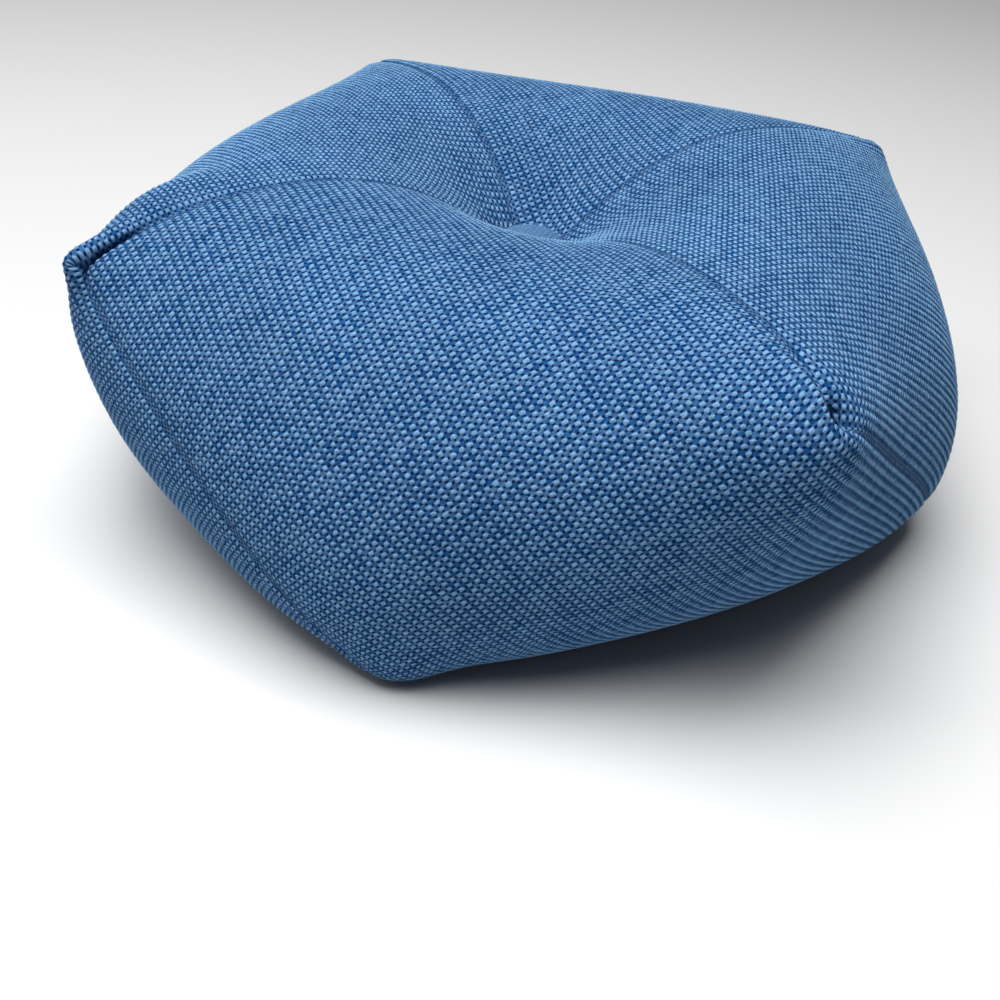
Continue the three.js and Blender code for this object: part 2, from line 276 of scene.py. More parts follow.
def folded_place(k, u, v, width):
    """Where a point of a panel lies before the cover is filled: on a flat-sided antiprism."""
    lid = 0.64 * width

    def ring(turn, z):
        return np.array([width * math.cos(turn * math.pi / 2), width * math.sin(turn * math.pi / 2), z])

    if v <= 1 and u + v <= 1:
        return (1 - u - v) * np.array([0, 0, lid]) + u * ring(k, lid) + v * ring(k + 1, lid)
    if v <= 1:
        return (1 - v) * ring(k, lid) + (u + v - 1) * ring(k + 0.5, 0) + (1 - u) * ring(k + 1, lid)
    w = v - 1
    if u + w <= 1:
        return (1 - u - w) * ring(k + 1, lid) + u * ring(k + 0.5, 0) + w * ring(k + 1.5, 0)
    return (1 - w) * ring(k + 0.5, 0) + (1 - u) * ring(k + 1.5, 0)


def held_tuft(index, squares, sizes):
    """Coordinates that the tuft holds, as a dictionary from places in the flat list to values in mm."""
    step = sizes.panel_width / MM / squares
    pressed = 15.0
    reach = int(pressed / step) + 1
    middle = index[0, 0, 0]
    held = {3 * middle: sizes.tuft_centre[0] / MM, 3 * middle + 1: sizes.tuft_centre[1] / MM}
    for k in range(4):
        for i in range(reach + 1):
            for j in range(reach + 1):
                if math.hypot(i, j) * step <= pressed:
                    held[3 * index[k, i, j] + 2] = sizes.tuft_height / MM
    return held


def held_corners(index, squares, sizes):
    """For every corner: how firmly each point is held, each point's share in its place, and that place."""
    width = sizes.panel_width / MM
    u = np.linspace(0, width, squares + 1)[:, None]
    v = np.linspace(0, 2 * width, 2 * squares + 1)[None]
    grips, shares, places = [], [], []
    for k in range(4):
        for grip, reach, own, other, out, turn, up in (
                (NET_TOP_GRIP, sizes.hold_reach,
                 np.hypot(width - u, v), np.hypot(u, v - width),
                 sizes.top_out[k], sizes.top_angle[k], sizes.top_up[k]),
                (NET_UNDER_GRIP, sizes.under_reach,
                 np.hypot(width - u, v - width), np.hypot(u, 2 * width - v),
                 sizes.under_out[k], sizes.under_angle[k], sizes.under_up[k])):
            away = np.full(index.max() + 1, 1e9)
            np.minimum.at(away, index[k].ravel(), own.ravel())
            np.minimum.at(away, index[(k - 1) % 4].ravel(), other.ravel())
            weight = np.exp(-((away / (reach / MM)) ** 2))
            weight[weight < 0.01] = 0
            grips.append(grip * weight * (GRIP_SQUARES / squares) ** 2)
            shares.append(weight / weight.sum())
            turn = math.radians(turn)
            places.append((out / MM * math.cos(turn), out / MM * math.sin(turn), up / MM))
    return np.array(grips).T, np.array(shares), np.array(places)


def bend_stiffness(squares, corner_bend, sizes):
    """Stiffness of a panel against bending at each point in mm2, other at its top and lower corners."""
    width = sizes.panel_width / MM
    u = np.linspace(0, width, squares + 1)[:, None]
    v = np.linspace(0, 2 * width, 2 * squares + 1)[None]
    top = np.minimum(np.hypot(width - u, v), np.hypot(u, v - width))
    under = np.minimum(np.hypot(width - u, v - width), np.hypot(u, 2 * width - v))
    soft_reach, soft_fade, round_reach = 35, 60, 45
    bend = corner_bend + (sizes.bend - corner_bend) * ease((top - soft_reach) / soft_fade)
    return bend * (1 + sizes.under_round * np.exp(-((under / round_reach) ** 2)))


def settle_net(index, x, squares, steps, bend, held, sizes):
    """Lets the filled net settle on the floor under its springs, its holds and the pressure inside."""
    n = squares
    width = sizes.panel_width / MM
    step = width / n
    total = index.max() + 1
    seam_stiffness, push, shear = 3.0, 0.15, 0.12
    keep_speed, floor_rub = 0.985, 0.9
    bend = np.broadcast_to(bend / step ** 2, index.shape)[..., None]
    held, values = np.array(list(held)), np.array(list(held.values()))
    grips, shares, corner_places = held_corners(index, squares, sizes)

    rest_across = np.full((4, n, 2 * n + 1, 1), step)
    rest_across[:, :, [0, -1]] *= sizes.seam_take
    rest_along = np.full((4, n + 1, 2 * n, 1), step)
    rest_along[:, [0, -1]] *= sizes.seam_take
    stiff_across = np.ones_like(rest_across)
    stiff_across[:, :, [0, -1]] = seam_stiffness / 2
    stiff_along = np.ones_like(rest_along)
    stiff_along[:, [0, -1]] = seam_stiffness / 2
    soft_across = stiff_across * push
    soft_across[:, :, [0, -1]] = seam_stiffness / 2
    soft_along = stiff_along * push
    soft_along[:, [0, -1]] = seam_stiffness / 2
    slant = step * math.sqrt(2)

    over_seams = []
    for k in range(4):
        for s in range(1, n):
            before = (k - 1) % 4
            over_seams.append((index[k, s, 1], index[k, s, 0], index[before, 1, s]))
            over_seams.append((index[k, n - 1, s], index[k, n, s], index[before, 1, n + s]))
            over_seams.append((index[k, n - 1, n + s], index[k, n, n + s], index[before, s, 2 * n - 1]))
    over_seams = np.array(over_seams)
    targets = np.concatenate([index.ravel(), over_seams.ravel(order="F")])
    point_bend = np.zeros((total, 1))
    point_bend[index] = bend
    seam_bend = point_bend[over_seams[:, 1]]

    pressure = sizes.fullness / width
    pace = 1 / (4 + 1.4 * seam_stiffness + 6 * point_bend + 2 * shear)
    speed = np.zeros_like(x)

    def pull(delta, rest, stiff, soft):
        length = np.sqrt((delta * delta).sum(-1, keepdims=True)) + 1e-12
        strain = (length - rest) / rest
        return delta * (np.where(strain > 0, stiff, soft) * strain * step / length)

    for turn in range(steps):
        eased = min(1.0, turn / (0.4 * steps))
        grid = x[index]
        force = np.zeros_like(grid)
        f = pull(grid[:, 1:] - grid[:, :-1], rest_across, stiff_across, soft_across)
        force[:, :-1] += f
        force[:, 1:] -= f
        f = pull(grid[:, :, 1:] - grid[:, :, :-1], rest_along, stiff_along, soft_along)
        force[:, :, :-1] += f
        force[:, :, 1:] -= f
        falling = grid[:, 1:, 1:] - grid[:, :-1, :-1]
        rising = grid[:, :-1, 1:] - grid[:, 1:, :-1]
        f = pull(falling, slant, shear, shear / 2)
        force[:, :-1, :-1] += f
        force[:, 1:, 1:] -= f
        f = pull(rising, slant, shear, shear / 2)
        force[:, 1:, :-1] += f
        force[:, :-1, 1:] -= f
        f = np.cross(falling, rising) * (pressure / 8)
        force[:, :-1, :-1] += f
        force[:, 1:, 1:] += f
        force[:, 1:, :-1] += f
        force[:, :-1, 1:] += f
        f = bend[:, 1:-1] * (grid[:, 2:] - 2 * grid[:, 1:-1] + grid[:, :-2])
        force[:, 1:-1] += f
        force[:, 2:] -= f / 2
        force[:, :-2] -= f / 2
        f = bend[:, :, 1:-1] * (grid[:, :, 2:] - 2 * grid[:, :, 1:-1] + grid[:, :, :-2])
        force[:, :, 1:-1] += f
        force[:, :, 2:] -= f / 2
        force[:, :, :-2] -= f / 2
        triple = x[over_seams]
        g = seam_bend * (triple[:, 0] - 2 * triple[:, 1] + triple[:, 2])
        pushes = np.concatenate([force.reshape(-1, 3), -g / 2, g, -g / 2])
        summed = np.stack([np.bincount(targets, pushes[:, axis], total) for axis in range(3)], axis=1)
        summed += grips @ (corner_places - shares @ x)
        speed = speed * keep_speed + summed * pace
        x += speed
        loose = x.reshape(-1)
        loose[held] += (values - loose[held]) * (0.05 * eased if eased < 1 else 1.0)
        speed.reshape(-1)[held] = 0
        below = x[:, 2] < 0
        x[below, 2] = 0
        speed[below, 2] = 0
        speed[below, :2] *= floor_rub
    return x


def settle_cover(sizes):
    """Fills the sewn cover, then tucks its top corners in on a finer net; returns the net's points in mm."""
    coarse, fine = sizes.net_squares, sizes.fine_squares
    index = sewn_index(coarse)
    x = np.zeros((index.max() + 1, 3))
    for k in range(4):
        for i in range(coarse + 1):
            for j in range(2 * coarse + 1):
                x[index[k, i, j]] = folded_place(k, i / coarse, j / coarse, sizes.panel_width / MM)
    held = held_tuft(index, coarse, sizes)
    bend = bend_stiffness(coarse, sizes.bend, sizes)
    x = settle_net(index, x, coarse, sizes.settle_steps, bend, held, sizes)
    width = sizes.panel_width / MM
    panels = smooth_panels(x[index], coarse, fine, 2 * fine, width)
    normals = panel_normals(panels, width)
    index = sewn_index(fine)
    x = np.zeros((index.max() + 1, 3))
    held = held_tuft(index, fine, sizes)
    for k in range(4):
        x[index[k]] = panels[k]
        tucked = panels[k][fine, 0] - normals[k][fine, 0] * sizes.pinch_sink[k] / MM
        tucked[2] -= sizes.pinch_droop[k] / MM
        for axis in range(3):
            held[3 * index[k, fine, 0] + axis] = tucked[axis]
    bend = bend_stiffness(fine, sizes.fine_bend, sizes)
    x = settle_net(index, x, fine, sizes.fine_steps, bend, held, sizes)
    return x[index]


def smooth_reader(points, samples):
    """Matrix that reads a row of points as a uniform cubic B-spline at the given places, ends kept."""
    matrix = np.zeros((len(samples), points))
    last = points - 1
    for row, place in enumerate(samples):
        base = min(last - 1, int(math.floor(place)))
        t = place - base
        weights = ((1 - t) ** 3 / 6, (3 * t ** 3 - 6 * t ** 2 + 4) / 6,
                   (-3 * t ** 3 + 3 * t ** 2 + 3 * t + 1) / 6, t ** 3 / 6)
        for n, weight in enumerate(weights):
            m = base - 1 + n
            if m < 0:
                matrix[row, 0] += 2 * weight
                matrix[row, 1] -= weight
            elif m > last:
                matrix[row, last] += 2 * weight
                matrix[row, last - 1] -= weight
            else:
                matrix[row, m] += weight
    return matrix


def ease(t):
    """Smooth step from 0 to 1."""
    t = np.clip(t, 0, 1)
    return t * t * (3 - 2 * t)


def unit(vectors):
    """Vectors of length one."""
    return vectors / (np.linalg.norm(vectors, axis=-1, keepdims=True) + 1e-12)


def own_edge(across, along):
    """Grid places of a seam on the panel whose corner it turns, and how far along the seam they lie."""
    i = np.concatenate([np.arange(across), np.full(along + 1, across)])
    j = np.concatenate([np.zeros(across, dtype=int), np.arange(along + 1)])
    return (i, j), i / across + 2 * j / along


def next_edge(across, along):
    """Grid places of the same seam on the panel that runs straight past the top corner."""
    i = np.concatenate([np.zeros(along, dtype=int), np.arange(across + 1)])
    j = np.concatenate([np.arange(along), np.full(across + 1, along)])
    return (i, j), i / across + 2 * j / along


def spread_edges(panel, low, right, left, high, fade_u, fade_v):
    """Adds changes given along the four edges to a panel, each fading out away from its edge."""
    start_u, start_v = fade_u[:, None, None], fade_v[None, :, None]
    end_u, end_v = fade_u[::-1, None, None], fade_v[None, ::-1, None]
    panel = (panel + low[:, None] * start_v + high[:, None] * end_v
             + left[None] * start_u + right[None] * end_u)
    panel -= start_u * start_v * low[0] + end_u * start_v * low[-1]
    panel -= start_u * end_v * high[0] + end_u * end_v * high[-1]
    return panel


def read_curve(places, run, points):
    """Points of a curve at the given places, read from points along its run."""
    return np.stack([np.interp(places, run, points[:, axis]) for axis in range(3)], axis=1)


def join_edges(panels, reach, width, seams=None):
    """Makes the panels meet along their seams: at the given seam curves, or halfway between the panels."""
    across, along = panels[0].shape[0] - 1, panels[0].shape[1] - 1
    own, own_run = own_edge(across, along)
    following, next_run = next_edge(across, along)
    fine = np.linspace(0, 3, 6 * along)
    shared = []
    for k in range(4):
        if seams is not None:
            shared.append((seams[0][k], seams[1][k]))
            continue
        ours = read_curve(fine, own_run, panels[k][own])
        theirs = read_curve(fine, next_run, panels[(k - 1) % 4][following])
        mean = (ours + theirs) / 2
        shared.append((read_curve(own_run, fine, mean), read_curve(next_run, fine, mean)))
    fade_u = np.exp(-((np.linspace(0, width, across + 1) / reach) ** 2))
    fade_v = np.exp(-((np.linspace(0, 2 * width, along + 1) / reach) ** 2))
    joined = []
    for k in range(4):
        ours = shared[k][0] - panels[k][own]
        theirs = shared[(k + 1) % 4][1] - panels[k][following]
        panel = spread_edges(panels[k], ours[:across + 1], ours[across:],
                             theirs[:along + 1], theirs[along:], fade_u, fade_v)
        panel[own] = shared[k][0]
        panel[following] = shared[(k + 1) % 4][1]
        joined.append(panel)
    return joined


def smooth_panels(net, squares, across, along, width):
    """The four panels read from the net on a finer grid, meeting along smooth seams."""
    read_u = smooth_reader(squares + 1, np.linspace(0, squares, across + 1))
    read_v = smooth_reader(2 * squares + 1, np.linspace(0, 2 * squares, along + 1))
    panels = [np.einsum("ai,bj,ijc->abc", read_u, read_v, net[k], optimize=True) for k in range(4)]
    net_edge = own_edge(squares, 2 * squares)[0]
    own_run, next_run = own_edge(across, along)[1], next_edge(across, along)[1]
    seams = tuple([smooth_reader(3 * squares + 1, run * squares) @ net[k][net_edge] for k in range(4)]
                  for run in (own_run, next_run))
    return join_edges(panels, 1.3 * width / squares, width, seams)


def panel_normals(panels, width):
    """Outward normals of the panels, shared along the seams."""
    normals = [unit(np.cross(np.gradient(panel, axis=0), np.gradient(panel, axis=1))) for panel in panels]
    return [unit(normal) for normal in join_edges(normals, 5.0, width)]


def edge_reach(panel, sizes):
    """For each edge: distance from it, run along its seam in mm, its seam and the way towards it."""
    width = sizes.panel_width / MM
    across, along = panel.shape[0] - 1, panel.shape[1] - 1
    u = np.linspace(0, width, across + 1)[:, None] + np.zeros((1, along + 1))
    v = np.linspace(0, 2 * width, along + 1)[None] + np.zeros((across + 1, 1))
    du, dv = unit(np.gradient(panel, axis=0)), unit(np.gradient(panel, axis=1))
    return ((v, u, 0, -dv), (width - u, width + v, 0, du),
            (u, v, 1, -du), (2 * width - v, 2 * width + u, 1, dv))


def relief_panels(panels, normals, sizes):
    """Sinks the seams, creases the cloth into the top corners and rolls a lip of cloth over each crease."""
    width = sizes.panel_width / MM
    length = sizes.pinch_length / MM
    crease_narrow, crease_wide, crease_end = 2.6, 4.5, 9   # mm
    lip_away, lip_reach, lip_end = 7, 5, 16
    puff_away, puff_reach = 13, 23
    hood_away, hood_wide, hood_back, hood_long = 26, 20, 48, 30
    done = []
    for k in range(4):
        depth = np.zeros(panels[k].shape[:2])
        rise = np.zeros_like(depth)
        puff = np.zeros_like(depth)
        lean = np.zeros_like(panels[k])
        for away, run, seam, towards in edge_reach(panels[k], sizes):
            corner = (k + seam) % 4
            groove = sizes.seam_sink / MM * np.exp(-((away / (sizes.seam_width / MM)) ** 2))
            aside = away - puff_away if seam == 0 else away + puff_away
            bulge = np.exp(-(aside ** 2 + (run - 2 * width - puff_away) ** 2) / puff_reach ** 2)
            puff = np.maximum(puff, sizes.under_puff[corner] / MM * bulge)
            past = run - width
            near = np.exp(-((past / crease_end) ** 2))
            tail = np.where(past < 0, ease(1 + past / length) ** 1.2, near)
            crease = sizes.crease_sink[corner] / MM * (0.55 * near + 0.45 * tail)
            if seam == 1:
                depth = np.maximum(depth, groove + crease * np.exp(-((away / crease_narrow) ** 2)))
                roll = np.where(past < 0, tail, np.exp(-((past / lip_end) ** 2)))
                hood = np.exp(-(((away - hood_away) / hood_wide) ** 2)
                              - ((past + hood_back) / hood_long) ** 2)
                puff = np.maximum(puff, sizes.hood_puff[corner] / MM * hood)
                rise += sizes.lip_rise[corner] / MM * roll * np.exp(-(((away - lip_away) / lip_reach) ** 2))
                swing = away / lip_reach * np.exp(0.5 - 0.5 * (away / lip_reach) ** 2)
                lean += towards * (sizes.lip_lean[corner] / MM * roll * swing)[..., None]
            else:
                wide = crease_wide + 5.0 * near
                depth = np.maximum(depth, groove + crease * np.exp(-((away / wide) ** 2)))
        done.append(panels[k] + normals[k] * (rise + puff - depth)[..., None] + lean)
    return join_edges(done, 2.5, width)


def press_tuft(panels, sizes, button):
    """Keeps the cloth round and under the button clear of it."""
    centre = np.array(sizes.tuft_centre) / MM
    low = sizes.tuft_height / MM
    flat = button.radius / MM + 0.8
    slope, reach = 1.25, 60
    for panel in panels:
        away = np.linalg.norm(panel[..., :2] - centre, axis=-1)
        ceiling = low + slope * np.maximum(0, away - flat)
        near = (away < reach) & (panel[..., 2] > low / 2)
        panel[..., 2] = np.where(near, np.minimum(panel[..., 2], ceiling), panel[..., 2])
    return panels


def bead_height(wave_u, wave_v):
    """Height of the weave in yarn reliefs, from cosines that count the beads both ways."""
    return 0.30 * wave_u * wave_v + 0.14 * (wave_u + wave_v) - 0.15


def weave_relief(panel, sizes, seed):
    """Height of the weave above the cloth's own surface, in mm."""
    rng = np.random.RandomState(seed)
    across, along = panel.shape[0] - 1, panel.shape[1] - 1
    u = np.cos(2 * math.pi * np.arange(across + 1) / GRID_PER_BEAD)[:, None]
    v = np.cos(2 * math.pi * np.arange(along + 1) / GRID_PER_BEAD)[None]
    height = bead_height(u, v)
    height = height * (sizes.yarn_rise / MM) * rng.uniform(0.75, 1.25, height.shape)
    away = np.minimum.reduce([edge[0] for edge in edge_reach(panel, sizes)])
    return height * ease(away / 2.2)


def turned(points, sizes):
    """Turns points of the pouf square to X and Y and sets the tuft under the button, in metres."""
    c, s = math.cos(FRAME_TURN), math.sin(FRAME_TURN)
    x, y = sizes.tuft_centre
    out = points * MM
    out[..., 0] = c * (points[..., 0] * MM - x) - s * (points[..., 1] * MM - y) + BUTTON_MIDDLE[0]
    out[..., 1] = s * (points[..., 0] * MM - x) + c * (points[..., 1] * MM - y) + BUTTON_MIDDLE[1]
    return out


def grid_mesh(name, places, cloth_uv, painted_seam_shade):
    """Mesh of a rectangular net whose points lie at the given places, with its weave and the painted shade
    along its seams.
    """
    across, along = places.shape[0] - 1, places.shape[1] - 1
    bm = bmesh.new()
    bmesh.ops.create_grid(bm, x_segments=across, y_segments=along, size=1.0)
    mesh = bpy.data.meshes.new(name)
    bm.to_mesh(mesh)
    bm.free()
    start = np.empty(len(mesh.vertices) * 3)
    mesh.vertices.foreach_get("co", start)
    start = start.reshape(-1, 3)
    i = np.rint((start[:, 0] + 1) / 2 * across).astype(int)
    j = np.rint((start[:, 1] + 1) / 2 * along).astype(int)
    mesh.vertices.foreach_set("co", places[i, j].astype(np.float32).ravel())
    corners = np.empty(len(mesh.loops), dtype=np.int32)
    mesh.loops.foreach_get("vertex_index", corners)
    layer = mesh.uv_layers.new(name="Cloth")
    layer.uv.foreach_set("vector", cloth_uv[i, j][corners].astype(np.float32).ravel())
    # Point attribute that carries the painted shade along the seams
    line = mesh.attributes.new("painted_seam_shade", "FLOAT", "POINT")
    line.data.foreach_set("value", painted_seam_shade[i, j].astype(np.float32))
    mesh.polygons.foreach_set("use_smooth", np.ones(len(mesh.polygons), dtype=bool))
    mesh.update()
    return mesh


def link_nodes(tree, *pairs):
    """Links an output to an input for each pair."""
    for start, end in pairs:
        tree.links.new(start, end)


def math_node(tree, operation, first, second=None, third=None, clamp=False):
    """A Math node; numbers are set on its sockets and outputs are linked."""
    node = tree.nodes.new("ShaderNodeMath")
    node.operation = operation
    node.use_clamp = clamp
    for socket, value in zip(node.inputs, (first, second, third)):
        if value is None:
            continue
        if isinstance(value, (int, float)):
            socket.default_value = value
        else:
            tree.links.new(value, socket)
    return node.outputs[0]


def mix_colours(tree, factor, first, second, blend="MIX"):
    """A colour Mix node."""
    node = tree.nodes.new("ShaderNodeMix")
    node.data_type = "RGBA"
    node.blend_type = blend
    for socket, value in ((node.inputs[0], factor), (node.inputs[6], first), (node.inputs[7], second)):
        if isinstance(value, (int, float)):
            socket.default_value = value
        elif isinstance(value, tuple):
            socket.default_value = (*value, 1.0)
        else:
            tree.links.new(value, socket)
    return node.outputs[2]


def stretched_noise(tree, vector, scale, detail=2.0, roughness=0.5):
    """Noise on a vector that is first stretched along its axes."""
    mapping = tree.nodes.new("ShaderNodeMapping")
    mapping.inputs["Scale"].default_value = scale
    noise = tree.nodes.new("ShaderNodeTexNoise")
    noise.inputs["Scale"].default_value = 1.0
    noise.inputs["Detail"].default_value = detail
    noise.inputs["Roughness"].default_value = roughness
    link_nodes(tree, (vector, mapping.inputs["Vector"]), (mapping.outputs[0], noise.inputs["Vector"]))
    return noise.outputs["Fac"]


def smooth_range(tree, value, low, high):
    """Smooth step of a value between two limits."""
    node = tree.nodes.new("ShaderNodeMapRange")
    node.interpolation_type = "SMOOTHSTEP"
    node.inputs["From Min"].default_value = low
    node.inputs["From Max"].default_value = high
    tree.links.new(value, node.inputs["Value"])
    return node.outputs[0]


def bead_chance(tree, vector, shift):
    """A number from 0 to 1 for each bead of the weave."""
    moved = tree.nodes.new("ShaderNodeVectorMath")
    moved.operation = "ADD"
    moved.inputs[1].default_value = (shift, shift, 0.0)
    whole = tree.nodes.new("ShaderNodeVectorMath")
    whole.operation = "FLOOR"
    noise = tree.nodes.new("ShaderNodeTexWhiteNoise")
    noise.noise_dimensions = "2D"
    link_nodes(tree, (vector, moved.inputs[0]), (moved.outputs[0], whole.inputs[0]),
               (whole.outputs[0], noise.inputs["Vector"]))
    return noise.outputs["Value"]


def between(first, second, share):
    """Colour between two colours."""
    return tuple((1 - share) * a + share * b for a, b in zip(first, second))


def cloth_material(name, light_yarn, middle_yarn, dark_yarn_and_shade, roughness, layer):
    """Weave of light beads on darker yarns, with painted shade in the pores between the beads and along the
    seams; the named UV layer counts the beads both ways.
    """
    material = bpy.data.materials.new(name)
    material.use_nodes = True
    tree = material.node_tree
    tree.nodes.clear()
    output = tree.nodes.new("ShaderNodeOutputMaterial")
    shader = tree.nodes.new("ShaderNodeBsdfPrincipled")
    shader.inputs["Roughness"].default_value = roughness
    shader.inputs["Specular IOR Level"].default_value = 0.04
    shader.inputs["Sheen Weight"].default_value = 0.01
    shader.inputs["Sheen Roughness"].default_value = 0.5
    uv = tree.nodes.new("ShaderNodeUVMap")
    uv.uv_map = layer
    wobble = tree.nodes.new("ShaderNodeTexNoise")
    wobble.inputs["Scale"].default_value = 1.3
    wobble.inputs["Detail"].default_value = 2.0
    nudge = tree.nodes.new("ShaderNodeVectorMath")
    nudge.operation = "MULTIPLY_ADD"
    nudge.inputs[1].default_value = (0.40, 0.35, 0.0)
    centred = tree.nodes.new("ShaderNodeVectorMath")
    centred.operation = "SUBTRACT"
    centred.inputs[1].default_value = (0.5, 0.5, 0.5)
    link_nodes(tree, (uv.outputs[0], wobble.inputs["Vector"]), (wobble.outputs["Color"], centred.inputs[0]),
               (centred.outputs[0], nudge.inputs[0]), (uv.outputs[0], nudge.inputs[2]))
    place = nudge.outputs[0]
    split = tree.nodes.new("ShaderNodeSeparateXYZ")
    link_nodes(tree, (place, split.inputs[0]))
    across, along = split.outputs[0], split.outputs[1]
    wave_u = math_node(tree, "COSINE", math_node(tree, "MULTIPLY", across, 2 * math.pi))
    wave_v = math_node(tree, "COSINE", math_node(tree, "MULTIPLY", along, 2 * math.pi))
    beads = math_node(tree, "ADD", wave_u, wave_v)

    fuzz = stretched_noise(tree, uv.outputs[0], (4.6, 5.6, 1.0), 2.0, 0.6)
    hairs = stretched_noise(tree, place, (1.6, 6.5, 1.0), 2.0, 0.6)
    slubs = stretched_noise(tree, place, (0.14, 2.0, 1.0), 1.0)
    cloudy = stretched_noise(tree, place, (0.06, 0.05, 1.0), 2.0)
    light_chance = bead_chance(tree, place, 0.5)
    dull_chance = bead_chance(tree, place, 0.0)

    ragged = math_node(tree, "MULTIPLY_ADD", fuzz, 4.2, -2.1)
    thick = math_node(tree, "MULTIPLY_ADD", slubs, 1.0, -0.5)
    ragged = math_node(tree, "ADD", ragged, thick)
    light_edge = math_node(tree, "ADD", math_node(tree, "MULTIPLY_ADD", light_chance, 0.4, ragged), beads)
    light = smooth_range(tree, light_edge, 0.05, 0.95)
    crossed = math_node(tree, "MULTIPLY", wave_u, wave_v)
    # Pores between the beads: a mask of painted shade, where the dark yarn colour, darkened for shade, is
    # mixed in
    pore_shade_edge = math_node(tree, "SUBTRACT", math_node(tree, "MULTIPLY_ADD", fuzz, 2.4, -1.2), crossed)
    pore_shade = smooth_range(tree, pore_shade_edge, 0.0, 0.80)

    light_value = math_node(tree, "MULTIPLY_ADD", light_chance, 0.16, -0.58)
    light_value = math_node(tree, "MULTIPLY_ADD", hairs, 1.2, light_value)
    light_value = math_node(tree, "MULTIPLY_ADD", fuzz, 1.8, light_value)
    light_colour = mix_colours(tree, 1.0, light_yarn, light_value, "MULTIPLY")
    dull_mix = math_node(tree, "MULTIPLY_ADD", slubs, 1.8, -0.95, clamp=True)
    dull_mix = math_node(tree, "MULTIPLY_ADD", dull_chance, 0.25, dull_mix)
    dull_colour = mix_colours(tree, dull_mix, middle_yarn, light_yarn)
    dull_value = math_node(tree, "MULTIPLY_ADD", hairs, 2.4, -1.0)
    dull_value = math_node(tree, "MULTIPLY_ADD", fuzz, 1.6, dull_value)
    dull_colour = mix_colours(tree, 1.0, dull_colour, dull_value, "MULTIPLY")
    colour = mix_colours(tree, light, dull_colour, light_colour)
    # Painted shade in the pores between the beads
    colour = mix_colours(tree, pore_shade, colour, dark_yarn_and_shade)
    tone = math_node(tree, "MULTIPLY_ADD", cloudy, 0.36, 0.80)
    colour = mix_colours(tree, 1.0, colour, tone, "MULTIPLY")
    # Painted shade along the seams, read from the point attribute and mixed towards the dark yarn colour
    line = tree.nodes.new("ShaderNodeAttribute")
    line.attribute_name = "painted_seam_shade"
    seam_shade_amount = math_node(tree, "MULTIPLY", line.outputs["Fac"], 0.65, clamp=True)
    colour = mix_colours(tree, seam_shade_amount, colour, dark_yarn_and_shade)
    link_nodes(tree, (colour, shader.inputs["Base Color"]))

    height = math_node(tree, "MULTIPLY_ADD", crossed, 0.5, math_node(tree, "MULTIPLY", beads, 0.35))
    height = math_node(tree, "MULTIPLY_ADD", hairs, 0.8, height)
    height = math_node(tree, "MULTIPLY_ADD", fuzz, 0.9, height)
    bump = tree.nodes.new("ShaderNodeBump")
    bump.inputs["Strength"].default_value = 0.65
    bump.inputs["Distance"].default_value = 0.0007
    link_nodes(tree, (height, bump.inputs["Height"]), (bump.outputs[0], shader.inputs["Normal"]),
               (shader.outputs[0], output.inputs["Surface"]))
    return material


def finish_piece(piece, node):
    """Links a finished piece, lets it stand for its node and ride on the pouf's body."""
    bpy.context.scene.collection.objects.link(piece)
    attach(piece, BODY)
    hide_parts(node)


class POUF_OT_cover(bpy.types.Operator):
    """Fill the cover and make its four woven panels"""

    bl_idname = "pouf.cover"
    bl_label = "Build cover"

    def execute(self, context):
        sizes = context.scene.pouf_cover
        button = context.scene.pouf_button
        across, along = GRID_PER_BEAD * sizes.beads_across, GRID_PER_BEAD * sizes.beads_along
        net = settle_cover(sizes)
        width = sizes.panel_width / MM
        panels = smooth_panels(net, sizes.fine_squares, across, along, width)
        panels = relief_panels(panels, panel_normals(panels, width), sizes)
        normals = panel_normals(panels, width)
        colours = context.scene.pouf_colours
        material = cloth_material("cover_cloth", tuple(colours.light_yarn), tuple(colours.middle_yarn),
                                  tuple(colours.dark_yarn_and_shade), colours.roughness, "Cloth")
        cloth_uv = np.stack(np.meshgrid(
            np.arange(across + 1) / GRID_PER_BEAD, np.arange(along + 1) / GRID_PER_BEAD,
            indexing="ij"), axis=-1)
        woven = [panels[k] + normals[k] * weave_relief(panels[k], sizes, 11 + k)[..., None]
                 for k in range(4)]
        woven = press_tuft(woven, sizes, button)
        for k, name in enumerate(PANEL_NAMES):
            places = woven[k]
            places[..., 2] = np.maximum(places[..., 2], 0)
            # Painted shade along the seams, fading out within about a millimetre of each edge
            away = np.minimum.reduce([edge[0] for edge in edge_reach(places, sizes)])
            mesh = grid_mesh(name, turned(places, sizes), cloth_uv + UV_APART * k,
                             np.exp(-((away / SEAM_SHADE_REACH) ** 2)))
            mesh.materials.append(material)
            piece = bpy.data.objects.new(name, mesh)
            finish_piece(piece, "cushion")
        return {"FINISHED"}


